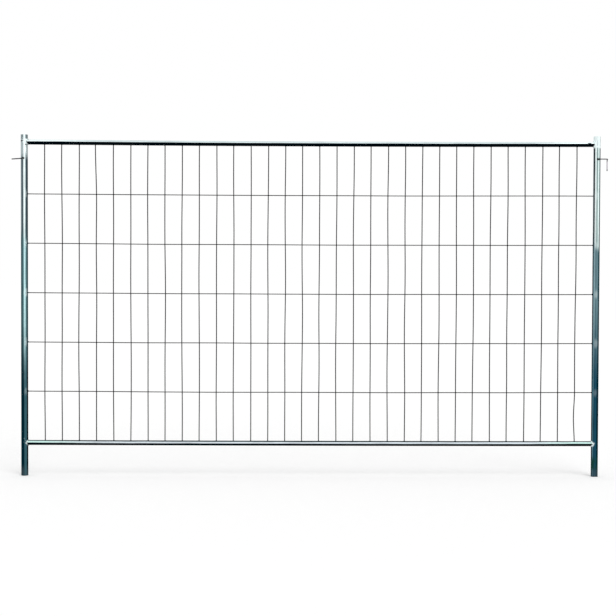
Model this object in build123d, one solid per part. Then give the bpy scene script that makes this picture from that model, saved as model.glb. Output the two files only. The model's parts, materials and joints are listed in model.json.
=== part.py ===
"""Temporary fence panel: two round posts, two round rails, a welded wire mesh and a hook and eye.

Frame: the origin is at the foot of the left post, on its axis. +X runs along the panel to the
right post, +Z is up and -Y is the front. All sizes are millimetres.
"""

import os
from math import asin, degrees

from build123d import *

# Frame of tubes
panel_width = 3500.0  # over the outsides of the two posts
post_height = 2063.0
post_diameter = 42.0
post_wall = 1.5
post_stub = 48.0  # from the top rail's axis to the top of the posts
post_leg = 200.0  # from the foot of the posts to the bottom rail's axis
rail_diameter = 30.0
rail_wall = 1.5
tube_deburr = 0.4  # bevel round the outside of each sawn post end

# Wire mesh
upright_diameter = 4.5
upright_pitch = 103.6
cross_diameter = 4.0
cross_pitch = 298.0
mesh_press = 0.5  # how far crossing wires are pressed into each other where they are welded
wire_sides = 8
flare_diameter = 9.0  # the upset collar where a wire's end is welded on a tube
flare_length = 4.0

# Fillet welds where the rails meet the posts
joint_weld_leg = 5.0
joint_weld_slope = 3.0  # what is taken off the leg's outer corner, which leaves a sloping face
joint_weld_sides = 12

# Hook and eye, bent from round bar
coupling_drop = 95.0  # from the top rail's axis down to the eye's bar on the post
hook_rise = 5.0  # how much higher the hook's bar is, which passes over the next panel's eye
coupling_bar = 6.0
bend_sides = 8  # the bent stretches of bar are drawn with flats, as the wires are
eye_reach = 56.0  # from the post's side to the far end of the eye
eye_droop = 6.0  # how much lower the far end of the eye hangs
hook_reach = 41.0  # from the post's side to the hook pin's axis
hook_bend = 9.0  # of the bar's middle line, where it turns down
hook_bend_gap = 1.0  # the short straight run between the hook's two bends
pin_length = 61.0  # the straight pin below the bend
pin_tip_bevel = 1.0
coupling_weld_bead = 4.4
coupling_weld_bite = 1.8  # how far the bead's round runs in under the bar's side
coupling_weld_run = 9.0
coupling_weld_proud = 0.5  # how far the bead's middle stands off the post's side
bead_sides = 6

# What follows from the sizes above
post_radius = post_diameter / 2
rail_radius = rail_diameter / 2
bar_radius = coupling_bar / 2
right_post_x = panel_width - post_diameter
bottom_rail_z = post_leg
top_rail_z = post_height - post_stub
eye_z = top_rail_z - coupling_drop
hook_z = eye_z + hook_rise
upright_y = -(cross_diameter - mesh_press) / 2  # uprights in front of the cross wires
cross_y = (upright_diameter - mesh_press) / 2
bar_y = post_radius + bar_radius  # a bar that lies against the post's front or back


def round_bar(diameter, length):
    """A solid round bar from the origin up +Z."""
    return Cylinder(diameter / 2, length, align=(Align.CENTER, Align.CENTER, Align.MIN))


def round_tube(diameter, wall, length):
    """A round tube with open ends from the origin up +Z."""
    return round_bar(diameter, length) - round_bar(diameter - 2 * wall, length)


def flat_sided(diameter, sides):
    """A round section drawn with flats, as wide over them, with one flat square to its x direction."""
    return RegularPolygon(diameter / 2, sides, major_radius=False, rotation=180 / sides)


def along_x(shape):
    """Turns a shape that points up +Z so that it points along +X."""
    return Rot(0, 90, 0) * shape


def post_core(x):
    """The whole round of a post, which cuts what is fitted to its outside."""
    return Pos(x, 0, 0) * round_bar(post_diameter, post_height)


def rail_core(z):
    """The whole round of a rail between the post axes."""
    return Pos(0, 0, z) * along_x(round_bar(rail_diameter, right_post_x))


def post(x):
    """A post: a tube open at both ends, with the outer rim of each sawn end deburred."""
    tube = round_tube(post_diameter, post_wall, post_height)
    rims = [e for e in tube.edges().filter_by(GeomType.CIRCLE) if e.radius > post_radius - post_wall / 2]
    return Pos(x, 0, 0) * chamfer(rims, tube_deburr)


def rail(z):
    """A rail: a tube whose ends are coped to sit round the posts."""
    tube = Pos(0, 0, z) * along_x(round_tube(rail_diameter, rail_wall, right_post_x))
    return tube - post_core(0) - post_core(right_post_x)


def wire(diameter, length):
    """A mesh wire up +Z with a flared collar at each end. Crossing wires meet edge to edge."""
    section = RegularPolygon(diameter / 2, wire_sides)
    flare = loft([RegularPolygon(flare_diameter / 2, wire_sides), Pos(0, 0, flare_length) * section])
    far_flare = Pos(0, 0, length) * Rot(180, 0, 0) * flare
    return extrude(section, length) + flare + far_flare


def wire_places(low, high, pitch):
    """Places of evenly pitched wires, centred between low and high with at least one pitch to each."""
    count = int((high - low) // pitch) - 1
    middle = (low + high) / 2
    return [middle + (i - (count - 1) / 2) * pitch for i in range(count)]


def wire_mesh():
    """The welded mesh: upright wires in front, cross wires behind, fused where they cross."""
    # a wire starts a little inside the tube's crown, and the tube's round then cuts it to length
    upright_start = bottom_rail_z + rail_radius - upright_diameter / 4
    upright_end = top_rail_z - rail_radius + upright_diameter / 4
    cross_start = post_radius - cross_diameter / 4
    cross_end = right_post_x - cross_start
    upright = wire(upright_diameter, upright_end - upright_start)
    cross = along_x(wire(cross_diameter, cross_end - cross_start))
    wires = []
    for x in wire_places(0, right_post_x, upright_pitch):
        wires.append(Pos(x, upright_y, upright_start) * upright)
    for z in wire_places(bottom_rail_z, top_rail_z, cross_pitch):
        wires.append(Pos(cross_start, cross_y, z) * cross)
    mesh = wires[0].fuse(*wires[1:])
    tubes = [post_core(0), post_core(right_post_x), rail_core(bottom_rail_z), rail_core(top_rail_z)]
    return mesh.cut(*tubes)


def joint_weld(x, z, side):
    """The fillet weld round a coped rail end. side is 1 where the rail runs off to +X and -1 to -X."""
    reach = post_radius + joint_weld_leg
    across = rail_diameter + 2 * joint_weld_leg
    round_post = extrude(flat_sided(2 * reach, joint_weld_sides), 2 * reach)
    round_rail = extrude(flat_sided(across, joint_weld_sides), reach)
    # the rail's top and bottom meet the post squarely, so there a 45 degree cone makes the slope
    cone_foot = across + 2 * (reach - joint_weld_slope)
    round_rail &= extrude(flat_sided(cone_foot, joint_weld_sides), reach, taper=45)
    collar = Pos(x, 0, z) * Rot(0, 90 * side, 0) * round_rail & Pos(x, 0, z - reach) * round_post
    return collar - post_core(x) - rail_core(z)


def bent_bar(path, diameter, sides):
    """A bar of few sides along a path whose straight runs and round bends lead on into each other."""
    pieces = []
    for run in path.edges():
        section = Plane(origin=run @ 0, z_dir=run % 0) * flat_sided(diameter, sides)
        if run.geom_type == GeomType.LINE:
            pieces.append(extrude(section, run.length))
        else:
            turn_axis = Axis(run.arc_center, (run @ 0 - run.arc_center).cross(run % 0))
            pieces.append(revolve(section, turn_axis, degrees(run.length / run.radius)))
    return pieces[0].fuse(*pieces[1:])


def coupling_eye():
    """The eye: a bow whose two legs lie on the front and back of the left post."""
    far_end = -(post_radius + eye_reach - bar_radius)
    bow_start = far_end + bar_y
    bow = ThreePointArc((bow_start, -bar_y), (far_end, 0), (bow_start, bar_y))
    path = Line((0, -bar_y), (bow_start, -bar_y)) + bow + Line((bow_start, bar_y), (0, bar_y))
    return eye_place() * bent_bar(path, coupling_bar, bend_sides)


def eye_place():
    """Where the eye's flat bow goes: at its height on the left post, with its far end hanging down."""
    droop_angle = degrees(asin(eye_droop / (post_radius + eye_reach)))
    return Pos(0, 0, eye_z) * Rot(0, -droop_angle, 0)


def hook_place():
    """Where the hook's bar starts: on the right post's axis, at its height."""
    return Pos(right_post_x, 0, hook_z)


def coupling_hook():
    """The hook: a bar on the front of the right post that turns to the panel's middle, then down."""
    pin_x = post_radius + hook_reach
    side_bend = bar_y - hook_bend - hook_bend_gap
    path = FilletPolyline(
        (0, -bar_y, 0),
        (pin_x, -bar_y, 0),
        (pin_x, 0, 0),
        (pin_x, 0, -hook_bend - hook_bend_gap),
        radius=[side_bend, hook_bend],
    )
    pin = round_bar(coupling_bar, pin_length)
    pin = Pos(pin_x, 0, -hook_bend - pin_length) * chamfer(pin.edges().sort_by(Axis.Z)[0], pin_tip_bevel)
    return hook_place() * (bent_bar(path, coupling_bar, bend_sides) + pin)


def coupling_weld():
    """The bead round the end of a bar that lies on a post's front and runs off to +X."""
    aside = bar_radius + coupling_weld_bead / 2 - coupling_weld_bite
    above = Line((coupling_weld_run, 0, aside), (0, 0, aside))
    end = ThreePointArc((0, 0, aside), (-aside, 0, 0), (0, 0, -aside))
    below = Line((0, 0, -aside), (coupling_weld_run, 0, -aside))
    bead = bent_bar(above + end + below, coupling_weld_bead, bead_sides)
    bar = Pos(0, -bar_y, 0) * along_x(extrude(flat_sided(coupling_bar, bend_sides), 2 * coupling_weld_run))
    return Pos(0, -post_radius - coupling_weld_proud, 0) * bead - bar


def subparts():
    """Every sub-part by its node name."""
    return {
        "left_post": post(0),
        "right_post": post(right_post_x),
        "bottom_rail": rail(bottom_rail_z),
        "top_rail": rail(top_rail_z),
        "wire_mesh": wire_mesh(),
        "top_left_weld": joint_weld(0, top_rail_z, 1),
        "bottom_left_weld": joint_weld(0, bottom_rail_z, 1),
        "top_right_weld": joint_weld(right_post_x, top_rail_z, -1),
        "bottom_right_weld": joint_weld(right_post_x, bottom_rail_z, -1),
        "coupling_eye": coupling_eye(),
        "coupling_hook": coupling_hook(),
        "eye_front_weld": eye_place() * mirror(coupling_weld(), Plane.YZ) - post_core(0),
        "eye_back_weld": eye_place() * Rot(0, 0, 180) * coupling_weld() - post_core(0),
        "hook_weld": hook_place() * coupling_weld() - post_core(right_post_x),
    }


os.makedirs("parts", exist_ok=True)
for name, shape in subparts().items():
    export_step(shape, f"parts/{name}.step")
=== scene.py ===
import json
import math

import bmesh
import bpy
from mathutils import Matrix, Vector, noise


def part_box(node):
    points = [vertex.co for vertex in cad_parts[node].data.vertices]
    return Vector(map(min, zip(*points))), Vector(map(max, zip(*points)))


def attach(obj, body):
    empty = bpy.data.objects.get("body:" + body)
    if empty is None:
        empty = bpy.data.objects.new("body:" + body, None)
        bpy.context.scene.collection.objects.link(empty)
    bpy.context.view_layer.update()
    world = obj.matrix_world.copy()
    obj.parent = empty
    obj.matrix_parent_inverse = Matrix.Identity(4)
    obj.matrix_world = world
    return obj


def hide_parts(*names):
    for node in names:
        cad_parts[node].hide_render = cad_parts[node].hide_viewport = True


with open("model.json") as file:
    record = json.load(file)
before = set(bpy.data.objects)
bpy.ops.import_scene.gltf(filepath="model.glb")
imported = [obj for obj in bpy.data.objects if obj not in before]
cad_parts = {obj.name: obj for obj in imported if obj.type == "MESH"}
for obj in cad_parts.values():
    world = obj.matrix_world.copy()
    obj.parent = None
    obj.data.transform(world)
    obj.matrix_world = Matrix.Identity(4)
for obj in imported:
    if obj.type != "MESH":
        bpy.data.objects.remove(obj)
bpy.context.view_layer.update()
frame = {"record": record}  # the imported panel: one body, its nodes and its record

bl_info = {
    "name": "Temporary Fence Panel",
    "version": (1, 0, 0),
    "blender": (4, 5, 0),
    "location": "View3D > Sidebar > Fence Panel",
    "description": "Builds a galvanised mesh fence panel round its fixed frame",
    "category": "Add Mesh",
}

BODY = "root"
MOUNTS = {mount["name"]: mount["pos_m"] for mount in frame["record"]["mounts"]}
LEFT_X = MOUNTS["left_foot"][0]
RIGHT_X = MOUNTS["right_foot"][0]
POST_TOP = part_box("left_post")[1].z
# upright, foot of the bend, its peak, its head, and how far it stands aside
UPRIGHT_BENDS = (
    (3, 1.62, 2.02, 2.1, -0.006),
    (31, 0.2, 0.36, 0.52, -0.006),
)


def middle_height(node):
    """The height of a level tube's axis, to the millimetre."""
    low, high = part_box(node)
    return round((low.z + high.z) / 2, 3)


def colour(red, green, blue):
    """A colour given as it shows on a screen, 0 to 255, as the light values that a shader takes."""
    shown = [channel / 255 for channel in (red, green, blue)]
    return tuple(c / 12.92 if c <= 0.04045 else ((c + 0.055) / 1.055) ** 2.4 for c in shown)


def length_value(name, description, default):
    """A length that a user may change."""
    return bpy.props.FloatProperty(
        name=name, description=description, default=default, unit="LENGTH", precision=4
    )


def angle_value(name, description, default):
    """An angle in radians that a user may change."""
    return bpy.props.FloatProperty(name=name, description=description, default=default, subtype="ANGLE")


def count_value(name, description, default, lowest=1):
    """A whole number that a user may change."""
    return bpy.props.IntProperty(name=name, description=description, default=default, min=lowest)


def strength_value(name, description, default):
    """The strength of a light that a user may change."""
    return bpy.props.FloatProperty(name=name, description=description, default=default, min=0)


def colour_value(name, description, *shown):
    """A colour that a user may change, given as it shows on a screen."""
    return bpy.props.FloatVectorProperty(
        name=name, description=description, default=colour(*shown), subtype="COLOR", size=3, min=0, max=1
    )


# Settings

class FenceTubeSettings(bpy.types.PropertyGroup):
    """Sizes of the posts and rails."""

    post_radius: length_value("Post radius", "Outside radius of a post", 0.021)
    rail_radius: length_value("Rail radius", "Outside radius of a rail", 0.015)
    wall: length_value("Wall", "Wall thickness of the tubes", 0.0015)
    lip: length_value("Lip", "Bevel round the sawn ends", 0.0004)
    station: length_value("Ring spacing", "Distance between the rings of a tube's mesh", 0.03)
    wobble: length_value("Wobble", "How far a tube's skin wanders from true round", 0.00016)
    top_sag: length_value("Top rail sag", "How far the top rail hangs in its middle", 0.0045)
    bottom_sag: length_value("Bottom rail sag", "How far the bottom rail hangs in its middle", 0.0015)
    left_cut: length_value("Left foot cut", "How far out of square the left foot is sawn", 0.002)
    right_cut: length_value("Right foot cut", "How far out of square the right foot is sawn", 0.004)
    left_drop: length_value("Left head drop", "How much shorter the left post is sawn at its head", 0.004)
    sides: count_value("Sides", "Faces round a tube", 48, 8)


class FenceMeshSettings(bpy.types.PropertyGroup):
    """Sizes of the wires and their welds."""

    upright_radius: length_value("Upright radius", "Radius of the uprights, drawn thick so they show", 0.003)
    cross_radius: length_value("Cross radius", "Radius of the cross wires, drawn thick so they show", 0.0026)
    upright_y: length_value("Upright place", "How far the uprights lie behind the rails' axes", -0.00175)
    cross_y: length_value("Cross place", "How far the cross wires lie behind the rails' axes", 0.002)
    upright_pitch: length_value("Upright pitch", "Distance between uprights", 0.1036)
    cross_pitch: length_value("Cross pitch", "Distance between cross wires", 0.298)
    sag: length_value("Sag", "How far the cross wires hang in their middle", 0.004)
    wander: length_value("Wander", "How far a wire wanders from straight", 0.0025)
    station: length_value("Ring spacing", "Distance between the rings of a wire's mesh", 0.025)
    upright_count: count_value("Uprights", "Number of upright wires", 32)
    cross_count: count_value("Cross wires", "Number of cross wires", 5)
    sides: count_value("Sides", "Faces round a wire", 12, 6)


class FenceCouplingSettings(bpy.types.PropertyGroup):
    """Sizes of the eye, the hook and their welds."""

    eye_height: length_value("Eye height", "Height of the eye's bar on its post", 1.918)
    hook_height: length_value("Hook height", "Height of the hook's bar on its post", 1.925)
    bar_radius: length_value("Bar radius", "Radius of the eye's and hook's bar", 0.003)
    eye_reach: length_value("Eye reach", "From the post's side to the far end of the eye", 0.056)
    eye_droop: length_value("Eye droop", "How much lower the far end of the eye hangs", 0.006)
    eye_tilt: angle_value("Eye tilt", "Turn that sets the eye's front leg low", 0.085)
    hook_reach: length_value("Hook reach", "From the post's side to the pin's axis", 0.041)
    side_bend: length_value("Side bend", "Radius of the hook's first bend", 0.014)
    down_bend: length_value("Down bend", "Radius of the hook's second bend", 0.009)
    pin_drop: length_value("Pin drop", "From the bar on the post down to the pin's tip", 0.07)
    bead_radius: length_value("Bead radius", "Radius of the welds beside the bars", 0.0021)
    bead_run: length_value("Bead run", "How far a weld runs along each side of its bar", 0.009)


class FenceFinishSettings(bpy.types.PropertyGroup):
    """Colours of the weathered zinc, and of the highlights, reflections and shade painted on it."""

    # painted highlight: the light stripes high on the posts, the lighter stretch near their heads, and the
    # top rail's ends
    bright: colour_value("Bright zinc", "Clean zinc high up, and at the top rail's ends", 242, 255, 255)
    # painted reflection on the posts' rims and beside their painted highlights, a thin pale line of painted
    # reflection on the right post, and real wear on the eye's and hook's bars
    pale: colour_value("Pale zinc", "Dull zinc beside the bright, and worn parts of the bars", 146, 162, 168)
    # painted reflection: ground of the right post's upper zone
    ash_reflection: colour_value("Ash", "Greenish grey in the upper half of the right post", 140, 164, 162)
    # painted dark reflection: ground of the left post's upper zone, a dark stripe on the right one, and a
    # thin dark line on the right post
    slate_reflection: colour_value("Slate", "Dark zinc in the upper half of a post", 50, 66, 73)
    # painted highlight: light stripe in the left post's middle zone
    aqua_highlight: colour_value("Aqua", "Light streak half way up the left post", 194, 232, 236)
    # painted reflection: ground of the left post's middle zone
    sage_reflection: colour_value("Sage", "Left post half way up", 94, 130, 134)
    # painted reflection: ground of the right post's middle zone
    haze_reflection: colour_value("Haze", "Right post half way up", 104, 134, 142)
    # painted highlight: light stripe in the right post's middle zone
    mist_highlight: colour_value("Mist", "Light streak half way up the right post", 136, 166, 174)
    # painted dark reflection: thin dark stripe in the right post's middle zone
    shade: colour_value("Shade", "Thin dark streak half way up the right post", 82, 112, 120)
    # painted dark reflection: dark stripes in the posts' middle zones
    storm_reflection: colour_value("Storm", "Dark streaks half way up the posts", 40, 72, 78)
    # painted highlight: lighter stripe in the left post's lower zone
    teal_highlight: colour_value("Teal", "Lighter streak in the left post's lower half", 54, 92, 102)
    # painted reflection: middle stripe of the right post's lower zone
    blue: colour_value("Blue", "Middle of the right post's lower half", 26, 72, 92)
    # painted reflection: narrow light stripes in the posts' lower zones
    steel: colour_value("Steel", "Narrow light streaks in the posts' lower half", 84, 124, 138)
    # painted dark reflection: ground of the posts' lower zones, and dark stripes in the right post's middle
    # zone
    deep_reflection: colour_value("Deep", "Dark zinc low down, and dark streaks half way up the right post", 3, 36, 47)
    soil: colour_value("Soil", "Worn grey of the feet", 66, 84, 91)
    moss: colour_value("Moss", "Green film above the right foot", 24, 66, 60)
    # painted reflection: front and top of the top rail
    sky_reflection: colour_value("Sky zinc", "Front and top of the top rail", 208, 222, 224)
    # painted reflection: front of the bottom rail
    cloud: colour_value("Cloud zinc", "Front of the bottom rail", 206, 216, 222)
    # painted reflection: the bottom rail's front near its ends, and a light stripe high on the right post
    mint_reflection: colour_value("Mint zinc", "Bottom rail's ends, and a streak high on the right post", 196, 228, 222)
    # painted dark reflection: line along the top of the bottom rail
    lead_reflection: colour_value("Lead", "Top line of the bottom rail", 36, 52, 55)
    # painted shade on the rails' undersides, and painted dark reflection in the posts' darkest stripes
    pitch: colour_value("Pitch", "Rails' undersides, and the posts' darkest streaks", 0, 8, 14)
    wire: colour_value("Wire", "Dull zinc of the wires", 18, 19, 20)
    burnt: colour_value("Burnt", "Burnt steel of the welds, and dark patches of the wires", 6, 7, 8)
    spray: colour_value("Zinc spray", "Repair paint over the welds", 238, 250, 250)
    bar: colour_value("Bar", "Bar of the eye and the hook", 62, 58, 64)
    # painted highlight on the hook's pin
    pin: colour_value("Pin", "Worn pin of the hook", 196, 188, 198)


class FenceStageSettings(bpy.types.PropertyGroup):
    """Camera, lamps and floor."""

    camera_x: length_value("Camera place", "Where the camera stands along the panel", 1.637)
    camera_distance: length_value("Camera distance", "How far the camera stands from the panel", 8.0)
    camera_height: length_value("Camera height", "Height of the camera above the floor", 1.215)
    camera_yaw: angle_value("Camera yaw", "Turn to the left", math.radians(-0.543))
    camera_pitch: angle_value("Camera pitch", "Tilt up", math.radians(-1.396))
    camera_roll: angle_value("Camera roll", "Turn about the line of sight", math.radians(0.202))
    lens: bpy.props.FloatProperty(
        name="Lens", description="Focal length in millimetres", default=77.24, min=10,
        subtype="DISTANCE_CAMERA",
    )
    ambient: strength_value("Ambient", "Light from all round", 0.74)
    sun: strength_value("Sun", "Strength of the soft main lamp", 1.35)
    floor_glow: strength_value("Floor glow", "Glow that lifts the floor to nearly white", 0.125)


SETTINGS = {
    "fence_tubes": FenceTubeSettings,
    "fence_mesh": FenceMeshSettings,
    "fence_coupling": FenceCouplingSettings,
    "fence_finish": FenceFinishSettings,
    "fence_stage": FenceStageSettings,
}


# Shader maths

class Signal:
    """A number, colour or vector that varies over a surface. Arithmetic on a number adds Math nodes."""

    def __init__(self, tree, socket):
        self.tree = tree
        self.socket = socket

    def __add__(self, other):
        return self.tree.math("ADD", self, other)

    def __sub__(self, other):
        return self.tree.math("SUBTRACT", self, other)

    def __rsub__(self, other):
        return self.tree.math("SUBTRACT", other, self)

    def __mul__(self, other):
        return self.tree.math("MULTIPLY", self, other)

    def __truediv__(self, other):
        return self.tree.math("DIVIDE", self, other)

    def __mod__(self, other):
        return self.tree.math("FLOORED_MODULO", self, other)

    def __abs__(self):
        return self.tree.math("ABSOLUTE", self)

    __radd__ = __add__
    __rmul__ = __mul__


class Tree:
    """The shader nodes of a material or of the world."""

    def __init__(self, owner):
        owner.use_nodes = True
        self.nodes = owner.node_tree.nodes
        self.links = owner.node_tree.links
        self.nodes.clear()

    def node(self, kind, settings=None, inputs=None):
        """Adds a node with its settings and inputs, and returns its outputs by name."""
        made = self.nodes.new(kind)
        for name, value in (settings or {}).items():
            setattr(made, name, value)
        for name, value in (inputs or {}).items():
            socket = self.socket(made, name)
            if isinstance(value, Signal):
                self.links.new(value.socket, socket)
            elif socket.type == "RGBA":
                socket.default_value = (*value[:3], 1)
            else:
                socket.default_value = value
        return {output.name: Signal(self, output) for output in made.outputs if output.enabled}

    def socket(self, made, name):
        """A node's input by its place or by its name."""
        if isinstance(name, int):
            return made.inputs[name]
        return next(socket for socket in made.inputs if socket.name == name and socket.enabled)

    def math(self, operation, *values):
        """A Math node on numbers and signals."""
        return self.node("ShaderNodeMath", {"operation": operation}, dict(enumerate(values)))["Value"]

    def rise(self, value, low, high):
        """0 up to low and 1 from high on, with a soft step between."""
        inputs = {"Value": value, "From Min": low, "From Max": high}
        return self.node("ShaderNodeMapRange", {"interpolation_type": "SMOOTHSTEP"}, inputs)["Result"]

    def mix(self, share, below, above, blend="MIX"):
        """A colour between two others."""
        settings = {"data_type": "RGBA", "blend_type": blend}
        return self.node("ShaderNodeMix", settings, {"Factor": share, "A": below, "B": above})["Result"]

    def shade(self, base, share, darkest):
        """A colour darkened where a share is under 1, down to a part of itself where it is 0."""
        return self.mix(1.0, base, self.mix(share, (darkest,) * 3, (1, 1, 1)), "MULTIPLY")

    def place(self):
        """Where a point lies in the panel's own frame, as a vector."""
        return self.node("ShaderNodeTexCoord")["Object"]

    def split(self, vector):
        """The three parts of a vector."""
        parts = self.node("ShaderNodeSeparateXYZ", None, {"Vector": vector})
        return parts["X"], parts["Y"], parts["Z"]

    def stretched(self, vector, scale):
        """A vector with each part scaled by itself."""
        return self.node("ShaderNodeVectorMath", {"operation": "MULTIPLY"}, {0: vector, 1: scale})["Vector"]

    def cloud(self, vector, scale, detail=2.0):
        """Soft noise, about 0.5."""
        inputs = {"Vector": vector, "Scale": scale, "Detail": detail}
        return next(iter(self.node("ShaderNodeTexNoise", None, inputs).values()))

    def flakes(self, vector, scale):
        """One random number for each crystal of zinc."""
        crystal = self.node("ShaderNodeTexVoronoi", None, {"Vector": vector, "Scale": scale})["Color"]
        return self.split(crystal)[0]

    def bump(self, height, strength, distance):
        """A normal that follows a height."""
        inputs = {"Height": height, "Strength": strength, "Distance": distance}
        return self.node("ShaderNodeBump", None, inputs)["Normal"]

    def surface(self, base, roughness, metallic, normal):
        """Ends a material in worn metal: light colours, such as painted highlights, are partly metallic and
        shine, and dark ones, such as painted shade, painted dark reflections and burnt steel, hardly do.
        """
        lightness = self.node("ShaderNodeRGBToBW", None, {"Color": base})["Val"]
        inputs = {
            "Base Color": base,
            "Roughness": roughness,
            "Metallic": self.rise(lightness, 0.02, 0.5) * metallic,
            "Specular IOR Level": 0.0,
            "Normal": normal,
        }
        shader = self.node("ShaderNodeBsdfPrincipled", None, inputs)["BSDF"]
        self.node("ShaderNodeOutputMaterial", None, {"Surface": shader})


def material(name):
    """A new material and its tree."""
    made = bpy.data.materials.new(name)
    return made, Tree(made)


# Finishes

class TubeSkin:
    """What a standing tube's finish is mixed from: bearing round it, height, streaks and crystals."""

    def __init__(self, tree, axis_x, radius):
        self.tree = tree
        self.radius = radius
        place = tree.place()
        x, self.y, self.z = tree.split(place)
        self.x = x - axis_x
        self.streak = tree.cloud(tree.stretched(place, (1, 1, 0.04)), 190, 3)
        self.blotch = tree.cloud(tree.stretched(place, (1, 1, 0.35)), 34, 4)
        self.crystal = tree.flakes(place, 230)
        self.wobble = (tree.cloud(tree.stretched(place, (1, 1, 0.5)), 9, 3) - 0.5) * 1.1

    def stripe(self, bearing, half_width, softness=5):
        """1 along a line at a bearing in degrees from the front, and along its opposite at the back."""
        turn = math.radians(bearing)
        facing = (self.x * math.sin(turn) - self.y * math.cos(turn)) / self.radius
        low = math.cos(math.radians(half_width + softness))
        high = math.cos(math.radians(max(half_width - softness, 0)))
        return self.tree.rise(abs(facing) + self.wobble * (high - low), low, high)

    def striped(self, ground, *stripes):
        """A ground colour with stripes over it, each given as a bearing, half its width and its colour."""
        base = ground
        for bearing, half_width, shade in stripes:
            base = self.tree.mix(self.stripe(bearing, half_width), base, shade)
        return base

    def round_spot(self, spot_x, spot_y, over, stretch):
        """The distance from a spot on the skin. over is the height above it, stretch its width to height."""
        across, back = self.x - spot_x, self.y - spot_y
        flat = (across * across + back * back) * (1 / stretch**2)
        return self.tree.math("SQRT", flat + over * over)

    def mark(self, across, height, half_width, half_height):
        """1 inside a ragged oval on the front of the post, at a place across it and a height."""
        aside = (self.x - across) * (1 / half_width)
        above = (self.z - height) * (1 / half_height)
        ragged = (self.blotch - 0.5) * 1.2 + (self.crystal - 0.5) * 0.7
        reach = self.tree.math("SQRT", aside * aside + above * above) + ragged
        front = self.tree.rise(0 - self.y, 0, 0.004)
        return (1 - self.tree.rise(reach, 0.8, 1.1)) * front


def post_ground(skin, post, look):
    """A post's colour by height: its zones of painted reflection, a painted highlight near the head, and the
    foot's soil and film.

    The zones, from the top down, each give a ground colour and its stripes of painted highlight and painted
    dark reflection. The changes are the heights between which a zone blends into the next.
    """
    rise, mix = skin.tree.rise, skin.tree.mix
    uneven = skin.z + (skin.blotch - 0.5) * 0.2
    # upper, middle and lower zones of painted reflection, pale high up and dark low down, each with stripes
    # of painted highlight and painted dark reflection
    upper, middle, lower = [skin.striped(*zone) for zone in post["zones"]]
    base = mix(rise(uneven, *post["changes"][1]), lower, middle)
    base = mix(rise(uneven, *post["changes"][0]), base, upper)
    # a painted highlight near the post's head
    start, full, fading, dull = post["head"]
    head = rise(skin.z, start, full) * (1 - rise(skin.z, fading, dull) * 0.6)
    base = mix(head * post["bright_head"], base, look.bright)
    foot = 1 - rise(skin.z + (skin.blotch - 0.5) * 0.06, 0.02, 0.07)
    base = mix(foot * 0.6, base, look.soil)
    film = rise(skin.z, 0.03, 0.06) * (1 - rise(skin.z, 0.09, 0.14))
    return mix(film * rise(skin.blotch, 0.3, 0.5) * post["film"], base, look.moss)


def weld_spray(skin, post, tubes, mesh):
    """Where zinc spray lies round a post's welds in specks, and where burnt steel shows between them."""
    tree, rise = skin.tree, skin.tree.rise
    top_z, bottom_z = middle_height("top_rail"), middle_height("bottom_rail")
    ragged = (skin.blotch - 0.5) * 0.03 + (skin.crystal - 0.5) * 0.004
    # round the rails, less at the bottom one
    over_rail = tree.math("MINIMUM", abs(skin.z - top_z), abs(skin.z - bottom_z))
    rail_spot = skin.round_spot(post["inward"] * tubes.post_radius, 0, over_rail, 1.15)
    shrink = (1 - rise(skin.z, 0.5, 1.5)) * 0.005
    by_rails = 1 - rise(rail_spot + shrink + ragged, 0.018, 0.027)
    # beside the cross wires' ends, fainter further down, and none above the last or below the first
    half_pitch = mesh.cross_pitch / 2
    over_wire = (skin.z - cross_places(mesh)[0] + half_pitch) % mesh.cross_pitch - half_pitch
    wire_spot = skin.round_spot(post["spray_x"], -tubes.post_radius, over_wire * 0.4, 1.0)
    above_first = rise(skin.z, bottom_z + half_pitch, bottom_z + half_pitch * 1.2)
    below_last = 1 - rise(skin.z, top_z - half_pitch * 1.2, top_z - half_pitch)
    amount = (0.35 + rise(skin.z, 0.4, 1.2) * 0.65) * post["wire_spray"]
    by_wires = (1 - rise(wire_spot + ragged * 0.5, 0.004, 0.015)) * above_first * below_last * amount
    gaps = (1 - rise(skin.crystal + skin.blotch * 0.3, 0.3, 0.5)) * post["broken"]
    spray = tree.math("MAXIMUM", by_wires, by_rails) * (1 - gaps)
    return spray, by_rails * gaps * rise(skin.streak, 0.4, 0.6)


def post_steel(name, post, look, tubes, mesh):
    """Weathered zinc on a post with painted reflections, pale above and dark below, with long stripes of
    painted highlight and painted dark reflection, and sprayed welds.
    """
    made, tree = material(name)
    skin = TubeSkin(tree, post["axis_x"], tubes.post_radius)
    base = post_ground(skin, post, look)
    base = tree.shade(base, 1 - tree.rise(skin.streak, 0.45, 0.72), 0.74)
    base = tree.shade(base, skin.crystal, 0.9)
    spray, burnt = weld_spray(skin, post, tubes, mesh)
    base = tree.mix(spray, base, look.spray)
    base = tree.mix(burnt, base, look.burnt)
    top_z = middle_height("top_rail")
    for across, above, half_width, half_height, shade in post["marks"]:
        base = tree.mix(skin.mark(across, top_z + above, half_width, half_height), base, shade)
    roughness = 0.34 + skin.blotch * 0.16 + skin.crystal * 0.08
    normal = tree.bump(skin.crystal * 0.3 + skin.streak, 0.25, 0.0004)
    tree.surface(base, roughness, 0.4, normal)
    return made


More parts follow.
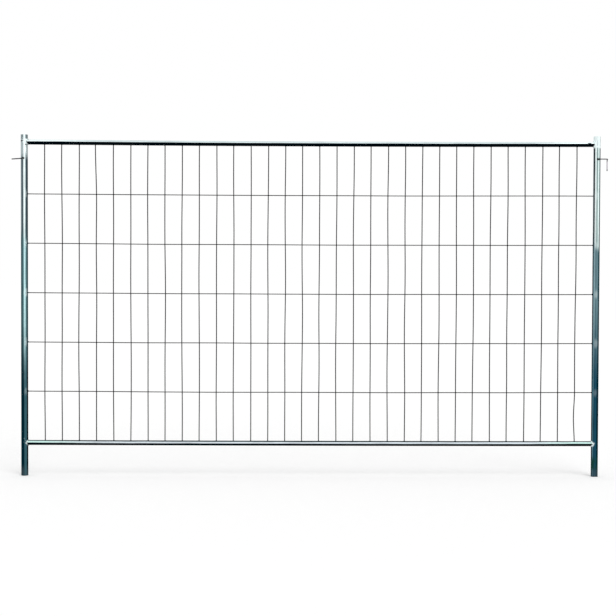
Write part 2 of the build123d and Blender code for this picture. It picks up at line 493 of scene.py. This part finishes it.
def rail_steel(name, look, black, line, end_rise, under, front, ends, top):
    """Weathered zinc on a rail with painted light: black painted shade below and a pale painted reflection
    in front, with a sharp edge between and a line of painted reflection on top.

    black and line say how far up the skin faces where the painted shade ends and where the line starts, and
    end_rise how much higher both are near the posts. ends is the front's painted reflection there.
    """
    made, tree = material(name)
    place = tree.place()
    up = tree.split(tree.node("ShaderNodeNewGeometry")["Normal"])[2]
    along = tree.split(place)[0]
    streak = tree.cloud(tree.stretched(place, (0.04, 1, 1)), 190, 3)
    blotch = tree.cloud(tree.stretched(place, (0.3, 1, 1)), 30, 4)
    crystal = tree.flakes(place, 230)
    facing = up + (blotch - 0.5) * 0.14
    from_end = tree.math("MINIMUM", along - LEFT_X, RIGHT_X - along) + (blotch - 0.5) * 0.3
    # the front's painted reflection, in another colour near the posts
    skin = tree.mix(tree.rise(from_end, 0.12, 0.42), ends, front)
    # the painted shade reaches further up near the posts
    facing = facing - (1 - tree.rise(from_end, 0.1, 0.5)) * end_rise
    # painted shade below, painted reflection in front, and the line of painted reflection on top
    base = tree.mix(tree.rise(facing, black - 0.05, black + 0.05), under, skin)
    base = tree.mix(tree.rise(facing, line - 0.05, line + 0.05), base, top)
    base = tree.shade(base, 1 - tree.rise(streak, 0.45, 0.72), 0.72)
    base = tree.shade(base, crystal, 0.88)
    roughness = 0.36 + blotch * 0.16 + crystal * 0.08
    normal = tree.bump(crystal * 0.3 + streak, 0.25, 0.0004)
    tree.surface(base, roughness, 0.35, normal)
    return made


def wire_steel(name, look):
    """Dull zinc drawn along the wires, darker in patches."""
    made, tree = material(name)
    place = tree.place()
    drawn = tree.cloud(place, 60, 4)
    crystal = tree.flakes(place, 500)
    base = tree.mix(tree.rise(drawn, 0.4, 0.65), look.wire, look.burnt)
    base = tree.shade(base, crystal, 0.6)
    tree.surface(base, 0.5 + crystal * 0.12, 0.3, tree.bump(drawn, 0.3, 0.0002))
    return made


def coupling_steel(name, look, coupling, tubes):
    """Bar of the eye and hook: burnt black where it is welded on, grey outside, with a painted highlight on
    the hook's pin.
    """
    made, tree = material(name)
    place = tree.place()
    x, _, z = tree.split(place)
    worn = tree.cloud(place, 150, 4)
    crystal = tree.flakes(place, 420)
    below = coupling.hook_height - z
    # the hook's downward pin gets a painted highlight
    fallen = tree.rise(below, 0.004, 0.02) * (1 - tree.rise(below, 0.054, 0.066))
    pin = fallen * tree.rise(x, RIGHT_X, RIGHT_X + 0.01)
    base = tree.mix(pin, tree.mix(tree.rise(worn, 0.5, 0.75) * 0.6, look.bar, look.pale), look.pin)
    from_post = tree.math("MAXIMUM", LEFT_X - x, x - RIGHT_X) - tubes.post_radius
    base = tree.mix(tree.rise(from_post, -0.004, 0.002), look.burnt, base)
    base = tree.shade(base, crystal, 0.7)
    tree.surface(base, 0.4 + worn * 0.2, 0.4, tree.bump(worn, 0.35, 0.0003))
    return made


def lumpy_weld(name, look, clean):
    """Lumpy weld, burnt dark in its hollows. The higher clean is, the more of it is under zinc spray."""
    made, tree = material(name)
    place = tree.place()
    lump = tree.cloud(place, 170, 4)
    grain = tree.cloud(place, 900, 2)
    base = tree.mix(tree.rise(lump, 0.66 - clean * 0.28, 0.76 - clean * 0.28), look.burnt, look.spray)
    base = tree.shade(base, 1 - tree.rise(grain, 0.5, 0.8), 0.7)
    tree.surface(base, 0.55 + grain * 0.15, 0.25, tree.bump(lump + grain * 0.3, 0.5, 0.0005))
    return made


# Shapes

class Shape:
    """Points and faces that are gathered into one mesh."""

    def __init__(self):
        self.points = []
        self.faces = []

    def ring(self, points):
        """Adds a ring of points and returns their numbers."""
        first = len(self.points)
        self.points.extend(points)
        return range(first, len(self.points))

    def bands(self, rings, closed=False):
        """Faces between each ring and the next, and from the last to the first if closed."""
        pairs = list(zip(rings, rings[1:]))
        if closed:
            pairs.append((rings[-1], rings[0]))
        for ring, following in pairs:
            for i in range(len(ring)):
                j = (i + 1) % len(ring)
                self.faces.append((ring[i], ring[j], following[j], following[i]))

    def tip(self, ring, point):
        """Closes a ring with triangles to one point."""
        centre = len(self.points)
        self.points.append(point)
        for i in range(len(ring)):
            self.faces.append((ring[i], ring[(i + 1) % len(ring)], centre))

    def piece(self, name, finish, nodes=(), crease=35):
        """Makes the mesh, and hangs it on the panel's body in place of the nodes it stands for."""
        mesh = bpy.data.meshes.new(name)
        mesh.from_pydata(self.points, [], self.faces)
        work = bmesh.new()
        work.from_mesh(mesh)
        bmesh.ops.recalc_face_normals(work, faces=work.faces)
        for face in work.faces:
            face.smooth = True
        work.to_mesh(mesh)
        work.free()
        mesh.set_sharp_from_angle(angle=math.radians(crease))
        mesh.materials.append(finish)
        made = bpy.data.objects.new(name, mesh)
        bpy.context.collection.objects.link(made)
        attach(made, BODY)
        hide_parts(*nodes)
        return made


def around(count):
    """Angles once round a circle."""
    return [2 * math.pi * i / count for i in range(count)]


def steps(low, high, spacing):
    """Evenly spaced places from low to high, about a spacing apart."""
    count = max(1, round((high - low) / spacing))
    return [low + (high - low) * i / count for i in range(count + 1)]


def bar(shape, line, radius, sides, lumps=0.0, seed=0.0):
    """A round bar along a line of points, with rounded ends.

    lumps is how uneven it is, as a share of its radius.
    """
    rings = []
    side = (line[1] - line[0]).orthogonal().normalized()
    last = len(line) - 1
    for i, point in enumerate(line):
        ahead = (line[min(i + 1, last)] - line[max(i - 1, 0)]).normalized()
        side = (side - ahead * side.dot(ahead)).normalized()
        over = ahead.cross(side)
        ring = []
        for angle in around(sides):
            out = side * math.cos(angle) + over * math.sin(angle)
            rough = noise.noise((point + out * radius) * (1.1 / radius) + Vector((seed, 0, 0))) * lumps
            ring.append(point + out * radius * (1 + rough))
        rings.append((point, ahead, ring))
    numbers = [shape.ring(rounded(rings[0], -1, radius))]
    numbers += [shape.ring(ring) for _, _, ring in rings]
    numbers.append(shape.ring(rounded(rings[-1], 1, radius)))
    shape.bands(numbers)
    for (point, ahead, _), ring, way in ((rings[0], numbers[0], -1), (rings[-1], numbers[-1], 1)):
        shape.tip(ring, point + ahead * way * radius * 0.5)


def rounded(end, way, radius):
    """The smaller ring that rounds off a bar's end."""
    point, ahead, ring = end
    return [point + (p - point) * 0.72 + ahead * way * radius * 0.45 for p in ring]


def bent_line(corners, radii, arc_steps=10):
    """Points along straight runs that are joined by round bends."""
    line = [corners[0]]
    for before, corner, after, radius in zip(corners, corners[1:], corners[2:], radii):
        back = (before - corner).normalized()
        on = (after - corner).normalized()
        half = back.angle(on) / 2
        centre = corner + (back + on).normalized() * (radius / math.sin(half))
        start = corner + back * (radius / math.tan(half)) - centre
        turn = math.pi - 2 * half
        for k in range(arc_steps + 1):
            angle = turn * k / arc_steps
            point = centre + start * math.cos(angle) - back * radius * math.sin(angle)
            if (point - line[-1]).length > 1e-5:
                line.append(point)
    line.append(corners[-1])
    return line


def blob(shape, centre, radii, seed, lumps, sides=10, levels=6):
    """A lumpy drop of metal."""
    rings = []
    for level in range(1, levels):
        tilt = math.pi * level / levels
        across, up = math.sin(tilt), math.cos(tilt)
        ring = []
        for angle in around(sides):
            out = Vector((across * math.cos(angle), across * math.sin(angle), up))
            swell = 1 + noise.noise(out * 1.6 + Vector((seed, seed * 0.7, 0))) * lumps
            ring.append(centre + Vector([o * r * swell for o, r in zip(out, radii)]))
        rings.append(shape.ring(ring))
    shape.bands(rings)
    shape.tip(rings[0], centre + Vector((0, 0, radii[2])))
    shape.tip(rings[-1], centre - Vector((0, 0, radii[2])))


def hang(x, depth):
    """How far a level tube or wire hangs at a place between the posts."""
    share = (x - LEFT_X) / (RIGHT_X - LEFT_X)
    return depth * 4 * share * (1 - share)


def post_shape(shape, axis_x, top, tubes, cut, seed):
    """A post: a tube open at both ends, its foot sawn a little out of square."""
    radius, inner, lip = tubes.post_radius, tubes.post_radius - tubes.wall, tubes.lip
    outside = [(radius, z) for z in steps(lip, top - lip, tubes.station)]
    inside = [(inner, z) for z in steps(top - lip / 2, lip / 2, tubes.station * 4)]
    profile = [(radius - lip, 0), *outside, (radius - lip, top), (inner + lip / 2, top)]
    profile += [*inside, (inner + lip / 2, 0)]
    slope_height = 0.06
    rings = []
    for reach, z in profile:
        ring = []
        for angle in around(tubes.sides):
            out = Vector((math.cos(angle), math.sin(angle), 0))
            swell = 0
            if min(z, top - z) >= tubes.station:
                swell = noise.noise(Vector((out.x * 1.3, out.y * 1.3, z * 7 + seed))) * tubes.wobble
            point = Vector((axis_x, 0, z)) + out * (reach + swell)
            point.z += abs(cut) * (1 - math.copysign(out.x, cut)) / 2 * max(0, 1 - z / slope_height)
            ring.append(point)
        rings.append(shape.ring(ring))
    shape.bands(rings, closed=True)


def rail_shape(shape, height, depth, tubes, seed):
    """A rail: a tube coped to sit round both posts."""
    rings = []
    shares = steps(0, 1, tubes.station / (RIGHT_X - LEFT_X))
    walls = [(tubes.rail_radius, share) for share in shares]
    walls += [(tubes.rail_radius - tubes.wall, share) for share in reversed(shares)]
    for radius, share in walls:
        ring = []
        for angle in around(tubes.sides):
            y, up = radius * math.sin(angle), radius * math.cos(angle)
            cope = math.sqrt(tubes.post_radius**2 - y**2)
            x = LEFT_X + cope + (RIGHT_X - LEFT_X - 2 * cope) * share
            swell = 1 + noise.noise(Vector((x * 7 + seed, y * 60, up * 60))) * tubes.wobble / radius
            ring.append(Vector((x, y * swell, height + up * swell - hang(x, depth))))
        rings.append(shape.ring(ring))
    shape.bands(rings, closed=True)


def rail_weld_shape(shape, axis_x, height, way, tubes, seed):
    """The weld bead that runs round a rail where it meets its post."""
    rings = []
    offset, bead, bead_sides = 0.0012, 0.0031, 14
    pulses, pulse_depth, unevenness, grain = 46, 0.09, 0.3, 210
    for angle in around(pulses * 3):
        out = Vector((0, math.sin(angle), math.cos(angle)))
        y = (tubes.rail_radius + offset) * out.y
        x = axis_x + way * math.sqrt((tubes.post_radius + offset) ** 2 - y**2)
        centre = Vector((x, y, height + (tubes.rail_radius + offset) * out.z))
        pulse = 1 + pulse_depth * math.cos(pulses * angle)
        ring = []
        for turn in around(bead_sides):
            aside = out * math.cos(turn) + Vector((way, 0, 0)) * math.sin(turn)
            rough = noise.noise((centre + aside * bead) * grain + Vector((seed, 0, 0)))
            ring.append(centre + aside * bead * (pulse + unevenness * rough))
        rings.append(shape.ring(ring))
    shape.bands(rings, closed=True)


def spatter(shape, axis_x, centre, size, tubes, seed):
    """Small drops of weld metal on the skin of a post, scattered about a place near a weld."""
    spread, count = 0.05, 16
    # a fixed seed scatters the drops in the same way each run
    noise.seed_set(1)
    for i in range(count):
        point = centre + noise.noise_vector(Vector((seed, i * 3.7, i * 1.9))) * spread
        out = Vector((point.x - axis_x, point.y, 0)).normalized() * tubes.post_radius
        radius = size * (0.6 + abs(noise.noise(Vector((i * 2.3, seed, 4.1)))))
        on_skin = Vector((axis_x + out.x, out.y, point.z))
        blob(shape, on_skin, (radius,) * 3, seed + i, lumps=0.2, sides=8, levels=5)


def upright_offset(index, z, wander):
    """How far an upright stands aside at a height: a small wander, and the bends that show."""
    aside = noise.noise(Vector((index * 7.3, z * 2.1, 3.3))) * wander * 1.6
    for bent, low, peak, high, reach in UPRIGHT_BENDS:
        if bent == index and low < z < high:
            share = (z - low) / (peak - low) if z < peak else (high - z) / (high - peak)
            aside += reach * math.sin(share * math.pi / 2) ** 2
    return aside


def spaced(middle, count, pitch):
    """Evenly pitched places about a middle."""
    return [middle + (i - (count - 1) / 2) * pitch for i in range(count)]


def upright_places(mesh):
    """Where the uprights stand along the panel."""
    return spaced((LEFT_X + RIGHT_X) / 2, mesh.upright_count, mesh.upright_pitch)


def cross_places(mesh):
    """The heights of the cross wires."""
    middle = (middle_height("top_rail") + middle_height("bottom_rail")) / 2
    return spaced(middle, mesh.cross_count, mesh.cross_pitch)


# Operators

def setting_groups(context, *names):
    """The scene's groups of settings, by their short names."""
    return [getattr(context.scene, "fence_" + name) for name in names]


class FENCE_OT_posts(bpy.types.Operator):
    """Build the two posts: open tubes with sawn ends"""

    bl_idname = "fence.posts"
    bl_label = "Posts"

    def execute(self, context):
        tubes, look, mesh = setting_groups(context, "tubes", "finish", "mesh")
        # a zone is its ground and then stripes as bearing, half width and colour, each drawn over the last;
        # all are painted reflections and painted highlights
        # a mark is its place across, its height over the top rail's axis, its half sizes and its colour
        left = {
            "axis_x": LEFT_X, "inward": 1, "film": 0.0,
            "wire_spray": 0.42, "spray_x": 0.012, "broken": 0.9,
            "head": (1.9, 1.95, 2.02, 2.04), "bright_head": 0.4,
            "changes": ((1.38, 1.52), (0.52, 1.0)),
            "zones": (
                (look.slate_reflection, (-62, 23, look.pale), (11, 25, look.pale), (11, 13, look.bright)),
                (look.sage_reflection, (-34, 12, look.storm_reflection), (15, 13, look.aqua_highlight), (70, 22, look.storm_reflection)),
                (look.deep_reflection, (-84, 12, look.steel), (26, 22, look.teal_highlight), (77, 25, look.pitch)),
            ),
            "marks": (
                (0.006, 0.006, 0.014, 0.012, look.spray),
                (0.007, -0.04, 0.007, 0.035, look.spray),
                (-0.0105, 0.006, 0.0105, 0.0036, look.burnt),
                (0.0125, -0.0165, 0.004, 0.0035, look.burnt),
            ),
        }
        right = {
            "axis_x": RIGHT_X, "inward": -1, "film": 1.0,
            "wire_spray": 0.28, "spray_x": -0.003, "broken": 0.1,
            "head": (1.985, 2.0, 3.0, 3.1), "bright_head": 0.95,
            "changes": ((1.34, 1.5), (0.52, 1.1)),
            "zones": (
                (
                    look.ash_reflection, (-76, 20, look.pale), (-56, 14, look.pitch), (-28, 13, look.bright),
                    (22, 14, look.mint_reflection), (20, 8, look.bright), (57, 20, look.slate_reflection),
                ),
                (
                    look.haze_reflection, (-76, 18, look.deep_reflection), (-38, 14, look.mist_highlight), (-14, 6, look.shade),
                    (56, 33, look.storm_reflection), (68, 26, look.deep_reflection),
                ),
                (look.deep_reflection, (-47, 10, look.steel), (-8, 22, look.blue), (-80, 14, look.pitch)),
            ),
            "marks": (
                # near the top rail, a thin line of painted dark reflection by the right post's edge and a
                # thin pale line of painted reflection down its middle
                (0.0165, 0.016, 0.0012, 0.03, look.slate_reflection),
                (-0.001, 0.0, 0.0012, 0.02, look.pale),
            ),
        }
        posts = (
            ("left_post", left, POST_TOP - tubes.left_drop, -tubes.left_cut, 2.0),
            ("right_post", right, POST_TOP, tubes.right_cut, 31.0),
        )
        for node, post, top, cut, seed in posts:
            shape = Shape()
            post_shape(shape, post["axis_x"], top, tubes, cut, seed)
            finish = post_steel(node + "_steel", post, look, tubes, mesh)
            shape.piece(node + "_tube", finish, [node])
        return {"FINISHED"}


class FENCE_OT_rails(bpy.types.Operator):
    """Build the two rails: tubes coped to the posts"""

    bl_idname = "fence.rails"
    bl_label = "Rails"

    def execute(self, context):
        tubes, look = setting_groups(context, "tubes", "finish")
        # undersides take painted shade; fronts, ends and tops take painted reflections, with a painted
        # highlight at the top rail's ends
        top = {"under": look.pitch, "front": look.sky_reflection, "ends": look.bright, "top": look.sky_reflection}
        bottom = {"under": look.pitch, "front": look.cloud, "ends": look.mint_reflection, "top": look.lead_reflection}
        rails = (
            ("top_rail", tubes.top_sag, 0.24, 0.9, 0.0, top, 5.0),
            ("bottom_rail", tubes.bottom_sag, -0.04, 0.6, 0.14, bottom, 17.0),
        )
        for node, depth, black, line, end_rise, colours, seed in rails:
            shape = Shape()
            rail_shape(shape, middle_height(node), depth, tubes, seed)
            finish = rail_steel(node + "_steel", look, black, line, end_rise, **colours)
            shape.piece(node + "_tube", finish, [node])
        return {"FINISHED"}


class FENCE_OT_rail_welds(bpy.types.Operator):
    """Build the weld beads where the rails meet the posts, with the spatter round them"""

    bl_idname = "fence.rail_welds"
    bl_label = "Rail welds"

    def execute(self, context):
        tubes, look = setting_groups(context, "tubes", "finish")
        corners = (
            ("top_left_weld", LEFT_X, "top_rail", 1, 0.0018, 0.8, 1.0),
            ("bottom_left_weld", LEFT_X, "bottom_rail", 1, 0.0012, 0.75, 9.0),
            ("top_right_weld", RIGHT_X, "top_rail", -1, 0.0008, 1.2, 15.0),
            ("bottom_right_weld", RIGHT_X, "bottom_rail", -1, 0.001, 1.1, 23.0),
        )
        for node, axis_x, rail_node, way, drop, clean, seed in corners:
            height = middle_height(rail_node)
            finish = lumpy_weld(node + "_zinc", look, clean)
            shape = Shape()
            rail_weld_shape(shape, axis_x, height, way, tubes, seed)
            in_front = Vector((axis_x + way * 0.01, -0.018, height))
            spatter(shape, axis_x, in_front, drop, tubes, seed)
            shape.piece(node + "_bead", finish, [node], crease=60)
        return {"FINISHED"}


class FENCE_OT_wires(bpy.types.Operator):
    """Build the upright and the cross wires"""

    bl_idname = "fence.wires"
    bl_label = "Wires"

    def execute(self, context):
        tubes, mesh, look = setting_groups(context, "tubes", "mesh", "finish")
        finish = wire_steel("wire_zinc", look)
        low, high = middle_height("bottom_rail"), middle_height("top_rail")
        uprights = Shape()
        for index, x in enumerate(upright_places(mesh)):
            foot = low + tubes.rail_radius - mesh.upright_radius / 2 - hang(x, tubes.bottom_sag)
            head = high - tubes.rail_radius + mesh.upright_radius / 2 - hang(x, tubes.top_sag)
            line = []
            for z in steps(foot, head, mesh.station):
                back = noise.noise(Vector((index * 3.1, z * 2.4, 8.8))) * mesh.wander * 0.4
                line.append(Vector((x + upright_offset(index, z, mesh.wander), mesh.upright_y + back, z)))
            bar(uprights, line, mesh.upright_radius, mesh.sides)
        uprights.piece("upright_wires", finish, ["wire_mesh"])
        crosses = Shape()
        for index, height in enumerate(cross_places(mesh)):
            start = LEFT_X + tubes.post_radius - mesh.cross_radius / 2
            line = []
            for x in steps(start, RIGHT_X - tubes.post_radius + mesh.cross_radius / 2, mesh.station):
                rise = noise.noise(Vector((x * 2.2, index * 5.9, 1.7))) * mesh.wander * 0.5
                line.append(Vector((x, mesh.cross_y, height - hang(x, mesh.sag) + rise)))
            bar(crosses, line, mesh.cross_radius, mesh.sides)
        crosses.piece("cross_wires", finish, ["wire_mesh"])
        return {"FINISHED"}


class FENCE_OT_wire_welds(bpy.types.Operator):
    """Build the small welds where wires cross and where they meet the tubes"""

    bl_idname = "fence.wire_welds"
    bl_label = "Wire welds"

    def execute(self, context):
        tubes, mesh, look = setting_groups(context, "tubes", "mesh", "finish")
        finish = lumpy_weld("wire_weld_zinc", look, 0.1)
        low, high = middle_height("bottom_rail"), middle_height("top_rail")
        crossings = Shape()
        ends = Shape()
        for index, x in enumerate(upright_places(mesh)):
            for row, height in enumerate(cross_places(mesh)):
                z = height - hang(x, mesh.sag)
                centre = Vector((x + upright_offset(index, z, mesh.wander), 0.0002, z))
                blob(crossings, centre, (0.0032, 0.0026, 0.003), index * 1.7 + row * 11.3, 0.35)
            for z, seed in (
                (low + tubes.rail_radius - hang(x, tubes.bottom_sag), 40.0),
                (high - tubes.rail_radius - hang(x, tubes.top_sag), 90.0),
            ):
                centre = Vector((x + upright_offset(index, z, mesh.wander), mesh.upright_y, z))
                blob(ends, centre, (0.0042, 0.0042, 0.0028), seed + index * 2.9, 0.4)
        for row, height in enumerate(cross_places(mesh)):
            for axis_x, way in ((LEFT_X, 1), (RIGHT_X, -1)):
                centre = Vector((axis_x + way * tubes.post_radius, mesh.cross_y, height))
                blob(ends, centre, (0.003, 0.0045, 0.0045), 130.0 + row * 3.3 + way, 0.4)
        # a stray run of weld metal on the top rail, near the right post
        stray = Vector((RIGHT_X - 0.048, -tubes.rail_radius * 0.96, high + tubes.rail_radius * 0.28))
        blob(ends, stray, (0.011, 0.0025, 0.0035), 77.0, lumps=0.4, sides=12, levels=8)
        crossings.piece("wire_crossing_welds", finish, ["wire_mesh"], crease=70)
        ends.piece("wire_end_welds", finish, ["wire_mesh"], crease=70)
        return {"FINISHED"}


def eye_turn(coupling, tubes):
    """The small turn that lets the far end of the eye hang down, with its front leg a little low."""
    droop = math.asin(coupling.eye_droop / (tubes.post_radius + coupling.eye_reach))
    turn = Matrix.Rotation(-droop, 4, "Y") @ Matrix.Rotation(coupling.eye_tilt, 4, "X")
    return Matrix.Translation((LEFT_X, 0, coupling.eye_height)) @ turn


def bar_weld_line(coupling, tubes, way, side):
    """The line of the weld round the end of a bar that lies on a post and runs off sideways.

    way is the direction along the panel in which the bar runs off, side is -1 on the front of the post.
    """
    off_bar, off_post = 0.0004, 0.0006
    run_steps, arc_steps = 6, 10
    aside = coupling.bar_radius + off_bar
    flat = [(coupling.bead_run * (1 - k / run_steps), aside) for k in range(run_steps + 1)]
    for k in range(1, arc_steps):
        angle = math.pi * k / arc_steps
        flat.append((-aside * math.sin(angle), aside * math.cos(angle)))
    flat += [(coupling.bead_run * k / run_steps, -aside) for k in range(run_steps + 1)]
    line = []
    for x, z in flat:
        y = side * math.sqrt((tubes.post_radius + off_post) ** 2 - x**2)
        line.append(Vector((way * x, y, z)))
    return line


class FENCE_OT_coupling(bpy.types.Operator):
    """Build the eye, the hook and the welds that hold them"""

    bl_idname = "fence.coupling"
    bl_label = "Eye and hook"

    def execute(self, context):
        tubes, coupling, look = setting_groups(context, "tubes", "coupling", "finish")
        finish = coupling_steel("coupling_bar_steel", look, coupling, tubes)
        weld_finish = lumpy_weld("coupling_weld_zinc", look, 0.35)
        lie = tubes.post_radius + coupling.bar_radius
        turn = eye_turn(coupling, tubes)
        far = -(tubes.post_radius + coupling.eye_reach - coupling.bar_radius)
        corners = [Vector((0, -lie, 0)), Vector((far, -lie, 0)), Vector((far, lie, 0)), Vector((0, lie, 0))]
        eye = Shape()
        line = bent_line(corners, [lie, lie], arc_steps=16)
        bar(eye, [turn @ p for p in line], coupling.bar_radius, sides=20)
        eye.piece("coupling_eye_bar", finish, ["coupling_eye"])

        pin_x = tubes.post_radius + coupling.hook_reach
        place = Vector((RIGHT_X, 0, coupling.hook_height))
        corners = [Vector((0, -lie, 0)), Vector((pin_x, -lie, 0)), Vector((pin_x, 0, 0))]
        corners.append(Vector((pin_x, 0, -coupling.pin_drop + coupling.bar_radius / 2)))
        line = bent_line(corners, [coupling.side_bend, coupling.down_bend])
        hook = Shape()
        bar(hook, [place + p for p in line], coupling.bar_radius, sides=20)
        hook.piece("coupling_hook_bar", finish, ["coupling_hook"])

        welds = (
            ("eye_front_weld", turn, -1, -1, 3.0),
            ("eye_back_weld", turn, -1, 1, 13.0),
            ("hook_weld", Matrix.Translation(place), 1, -1, 27.0),
        )
        for node, move, way, side, seed in welds:
            shape = Shape()
            line = [move @ p for p in bar_weld_line(coupling, tubes, way, side)]
            bar(shape, line, coupling.bead_radius, sides=12, lumps=0.35, seed=seed)
            shape.piece(node + "_bead", weld_finish, [node], crease=60)
        return {"FINISHED"}


class FENCE_OT_stage(bpy.types.Operator):
    """Set up the pale floor, the soft light and the camera"""

    bl_idname = "fence.stage"
    bl_label = "Stage"

    def execute(self, context):
        stage = context.scene.fence_stage
        context.scene.view_settings.view_transform = "Standard"
        self.floor(stage)
        self.world(context.scene, stage)
        self.lamps(stage)
        self.camera(context.scene, stage)
        return {"FINISHED"}

    def floor(self, stage):
        """A wide pale floor that shows nearly white and keeps the panel's shadow."""
        half = 150
        corners = [(-half, -half, 0), (half, -half, 0), (half, half, 0), (-half, half, 0)]
        mesh = bpy.data.meshes.new("floor")
        mesh.from_pydata(corners, [], [(0, 1, 2, 3)])
        made, tree = material("pale_floor")
        seen = white_rays(tree)
        glow = tree.mix(seen, (0, 0, 0), (1, 1, 1))
        inputs = {
            "Base Color": (0.86, 0.86, 0.86),
            "Roughness": 0.9,
            "Specular IOR Level": 0.0,
            "Emission Color": glow,
            "Emission Strength": stage.floor_glow,
        }
        shader = tree.node("ShaderNodeBsdfPrincipled", None, inputs)["BSDF"]
        tree.node("ShaderNodeOutputMaterial", None, {"Surface": shader})
        mesh.materials.append(made)
        floor = bpy.data.objects.new("floor", mesh)
        bpy.context.collection.objects.link(floor)

    def world(self, scene, stage):
        """Even light from all round, and plain white wherever the camera, a gloss or a glass looks."""
        scene.world = bpy.data.worlds.new("studio")
        tree = Tree(scene.world)
        strength = stage.ambient + white_rays(tree) * (1 - stage.ambient)
        inputs = {"Color": (1, 1, 1), "Strength": strength}
        light = tree.node("ShaderNodeBackground", None, inputs)["Background"]
        tree.node("ShaderNodeOutputWorld", None, {"Surface": light})

    def lamps(self, stage):
        """A wide soft sun from the front, high on the right."""
        data = bpy.data.lights.new("soft_sun", "SUN")
        data.energy = stage.sun
        data.angle = math.radians(35)
        lamp = bpy.data.objects.new("soft_sun", data)
        lamp.rotation_euler = (math.radians(48), 0, math.radians(24))
        bpy.context.collection.objects.link(lamp)

    def camera(self, scene, stage):
        """The camera of the photograph."""
        data = bpy.data.cameras.new("camera")
        data.lens = stage.lens
        data.clip_end = 500
        camera = bpy.data.objects.new("camera", data)
        place = Matrix.Translation((stage.camera_x, -stage.camera_distance, stage.camera_height))
        yaw = Matrix.Rotation(stage.camera_yaw, 4, "Z")
        pitch = Matrix.Rotation(math.pi / 2 + stage.camera_pitch, 4, "X")
        roll = Matrix.Rotation(stage.camera_roll, 4, "Z")
        camera.matrix_world = place @ yaw @ pitch @ roll
        scene.collection.objects.link(camera)
        scene.camera = camera


def white_rays(tree):
    """1 for rays that the camera, a gloss or a glass sends, and 0 for light."""
    path = tree.node("ShaderNodeLightPath")
    seen = tree.math("MAXIMUM", path["Is Camera Ray"], path["Is Glossy Ray"])
    return tree.math("MAXIMUM", seen, path["Is Transmission Ray"])


OPERATORS = (
    FENCE_OT_posts,
    FENCE_OT_rails,
    FENCE_OT_rail_welds,
    FENCE_OT_wires,
    FENCE_OT_wire_welds,
    FENCE_OT_coupling,
    FENCE_OT_stage,
)


class FENCE_PT_panel(bpy.types.Panel):
    """The fence panel's steps in the sidebar"""

    bl_idname = "FENCE_PT_panel"
    bl_label = "Fence Panel"
    bl_space_type = "VIEW_3D"
    bl_region_type = "UI"
    bl_category = "Fence Panel"

    def draw(self, context):
        for operator in OPERATORS:
            self.layout.operator(operator.bl_idname)
        for name in SETTINGS:
            self.layout.label(text=name)
            for setting in SETTINGS[name].__annotations__:
                self.layout.prop(getattr(context.scene, name), setting)


def register():
    """Adds the settings, the operators and the panel."""
    for name, group in SETTINGS.items():
        bpy.utils.register_class(group)
        setattr(bpy.types.Scene, name, bpy.props.PointerProperty(type=group))
    for made in (*OPERATORS, FENCE_PT_panel):
        bpy.utils.register_class(made)


def unregister():
    """Takes them away again."""
    for made in (FENCE_PT_panel, *reversed(OPERATORS)):
        bpy.utils.unregister_class(made)
    for name, group in SETTINGS.items():
        delattr(bpy.types.Scene, name)
        bpy.utils.unregister_class(group)


def main():
    """Builds the dressed panel and its stage."""
    register()
    for operator in OPERATORS:
        group, name = operator.bl_idname.split(".")
        getattr(getattr(bpy.ops, group), name)()


if __name__ == "__main__":
    main()
